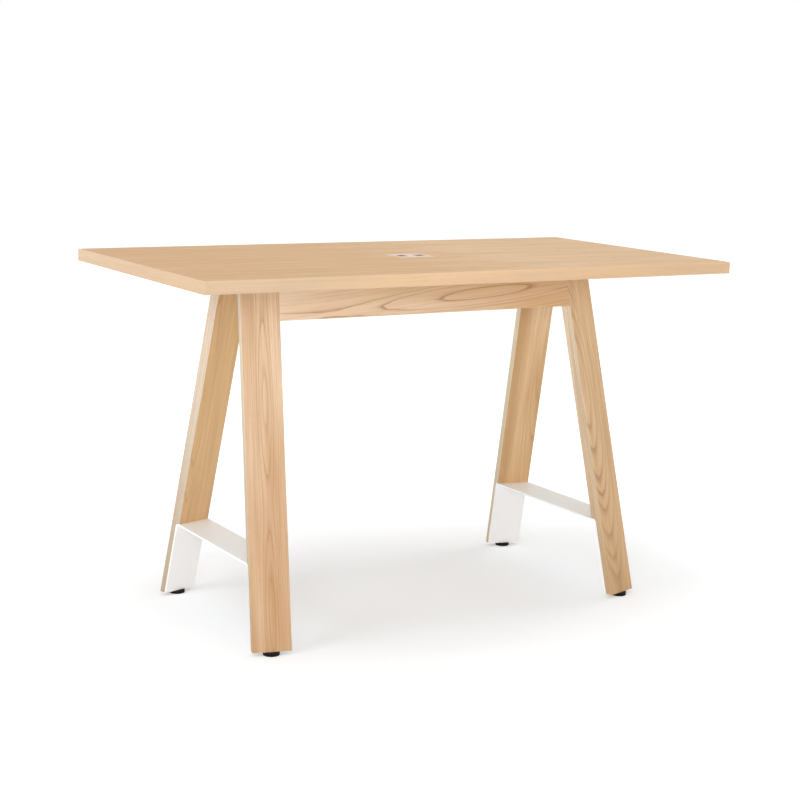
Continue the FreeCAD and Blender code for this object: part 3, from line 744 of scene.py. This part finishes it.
studio = {
    "white": (1.0, 1.0, 1.0, 1.0),
    "skyStrength": 0.65,
    "floorSize": 60.0,
    "floorColor": (0.758, 0.78, 0.796, 1.0),
    "floorGlow": (0.23, 0.6),        # painted light for the camera: weaker under the table, which keeps its shadow deep there, and stronger from glowReach outwards
    "glowReach": (0.5, 2.15),
}
lamps = {
    "key_light": {"place": (-3.0, -4.3, 1.4), "aim": (0.0, 0.0, 0.75), "size": 2.4, "power": 119.0},
    "side_light": {"place": (-4.2, -0.6, 2.4), "aim": (0.0, 0.0, 0.75), "size": 2.4, "power": 49.0},
    "far_light": {"place": (4.2, 0.4, 2.4), "aim": (0.0, 0.0, 0.75), "size": 2.4, "power": 28.0},
    "overhead_light": {"place": (-0.7, 0.0, 6.0), "aim": (0.0, 0.0, 0.0), "size": 3.0, "power": 62.0},
}


def whiteForCamera(tree):
    # 1 for rays from the camera, in reflections and through clear things
    path = tree.nodes.new("ShaderNodeLightPath").outputs
    seen = addMath(tree, "MAXIMUM", path["Is Camera Ray"], path["Is Glossy Ray"])
    return addMath(tree, "MAXIMUM", seen, path["Is Transmission Ray"])


def makeSky():
    world = bpy.data.worlds.new("studio_sky")
    bpy.context.scene.world = world
    world.use_nodes = True
    tree = world.node_tree
    light = tree.nodes["Background"]
    light.inputs["Color"].default_value = studio["white"]
    light.inputs["Strength"].default_value = studio["skyStrength"]
    backdrop = tree.nodes.new("ShaderNodeBackground")
    backdrop.inputs["Color"].default_value = studio["white"]
    mix = tree.nodes.new("ShaderNodeMixShader")
    feed(tree, mix.inputs[0], whiteForCamera(tree))
    feed(tree, mix.inputs[1], light.outputs[0])
    feed(tree, mix.inputs[2], backdrop.outputs[0])
    feed(tree, tree.nodes["World Output"].inputs["Surface"], mix.outputs[0])


def makeFloor():
    bpy.ops.object.select_all(action="DESELECT")
    bpy.ops.mesh.primitive_plane_add(size=studio["floorSize"])
    floor = fresh("studio_floor")
    material, tree, shader = newMaterial("pale_floor")
    tree.nodes.remove(shader)
    matt = tree.nodes.new("ShaderNodeBsdfDiffuse")
    matt.inputs["Color"].default_value = studio["floorColor"]
    glow = tree.nodes.new("ShaderNodeEmission")
    # painted light: the floor's glow for the camera grows with the distance from the table's middle, so the
    # floor reads darker near the table
    away = addVectorMath(tree, "LENGTH", objectVector(tree))["Value"]
    lift = addRange(tree, away, *studio["glowReach"], *studio["floorGlow"])
    feed(tree, glow.inputs["Strength"], addProduct(tree, whiteForCamera(tree), lift))
    both = tree.nodes.new("ShaderNodeAddShader")
    feed(tree, both.inputs[0], matt.outputs[0])
    feed(tree, both.inputs[1], glow.outputs[0])
    feed(tree, tree.nodes["Material Output"].inputs["Surface"], both.outputs[0])
    floor.data.materials.append(material)


def makeLamp(name, place, aim, size, power):
    bpy.ops.object.light_add(type="AREA", location=place)
    lamp = fresh(name)
    lamp.data.shape = "DISK"
    lamp.data.size = size
    lamp.data.energy = power
    lamp.rotation_euler = (Vector(aim) - Vector(place)).to_track_quat("-Z", "Y").to_euler()


makeSky()
makeFloor()
for lampName, settings in lamps.items():
    makeLamp(lampName, **settings)
bpy.context.scene.view_settings.view_transform = "Standard"
print("studio ready")


# camera at the photograph's place

viewpoint = {
    "place": (-2.6272, -4.1748, 1.5504),
    "yaw": math.radians(31.968),
    "pitch": math.radians(10.602),
    "roll": math.radians(-1.692),
    "focalPixels": 1605.8,
    "framePixels": 800.0,
    "sensor": 36.0,                  # millimetres
    "clipEnd": 200.0,
}


def makeCamera():
    v = viewpoint
    yaw, pitch, roll = v["yaw"], v["pitch"], v["roll"]
    ahead = Vector((math.sin(yaw) * math.cos(pitch), math.cos(yaw) * math.cos(pitch), -math.sin(pitch)))
    level = Vector((math.cos(yaw), -math.sin(yaw), 0.0))
    down = ahead.cross(level)
    right = level * math.cos(roll) + down * math.sin(roll)
    up = level * math.sin(roll) - down * math.cos(roll)
    bpy.ops.object.camera_add()
    camera = fresh("photo_camera")
    camera.matrix_world = Matrix.Translation(v["place"]) @ Matrix((right, up, -ahead)).transposed().to_4x4()
    camera.data.sensor_width = v["sensor"]
    camera.data.lens = v["focalPixels"] * v["sensor"] / v["framePixels"]
    camera.data.clip_end = v["clipEnd"]
    bpy.context.scene.camera = camera


makeCamera()
print("camera ready")
